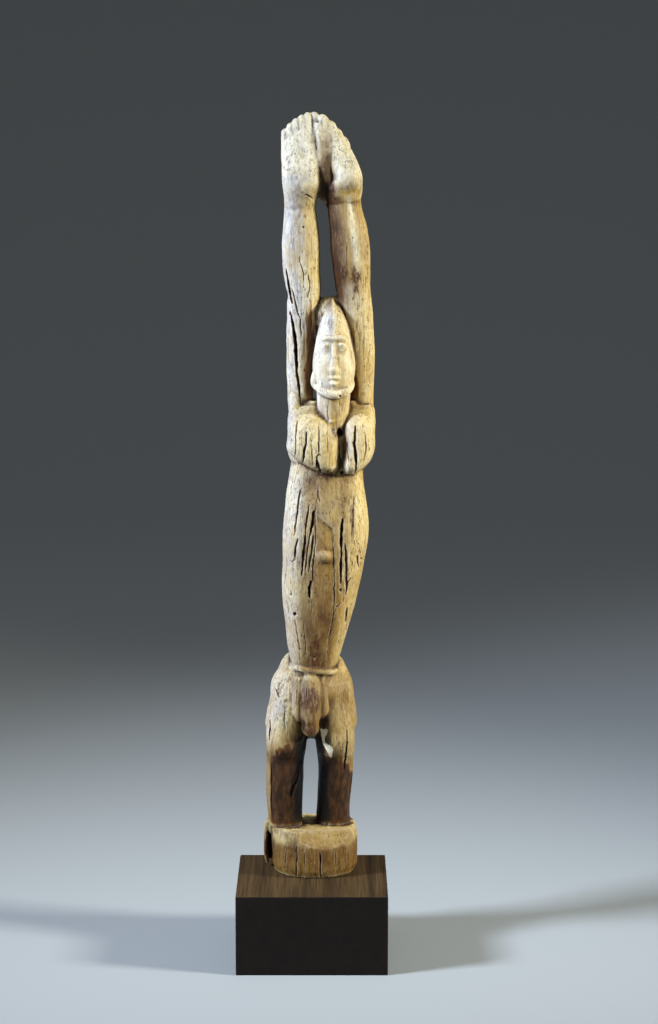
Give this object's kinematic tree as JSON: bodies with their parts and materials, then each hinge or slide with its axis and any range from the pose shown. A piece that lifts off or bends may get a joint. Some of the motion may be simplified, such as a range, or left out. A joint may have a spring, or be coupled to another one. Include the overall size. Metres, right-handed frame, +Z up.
{
  "type": "dogon figure",
  "caption": "Tall slender standing wood figure with raised joined hands, carved from one log with its foot block, on a dark square wood plinth.",
  "frame": {"origin": "centre of the plinth's underside", "axes": "+Z up; the figure faces -Y; +X is at the viewer's right when looking at its front"},
  "size_m": [0.15, 0.15, 0.8419],
  "materials": {
    "figure": "weathered, split and pitted, mostly matt with a few worn, slightly shiny places",
    "plinth": "dark stained, smooth, satin"
  },
  "bodies": {
    "root": {"figure": "figure", "plinth": "plinth"}
  },
  "joints": []
}
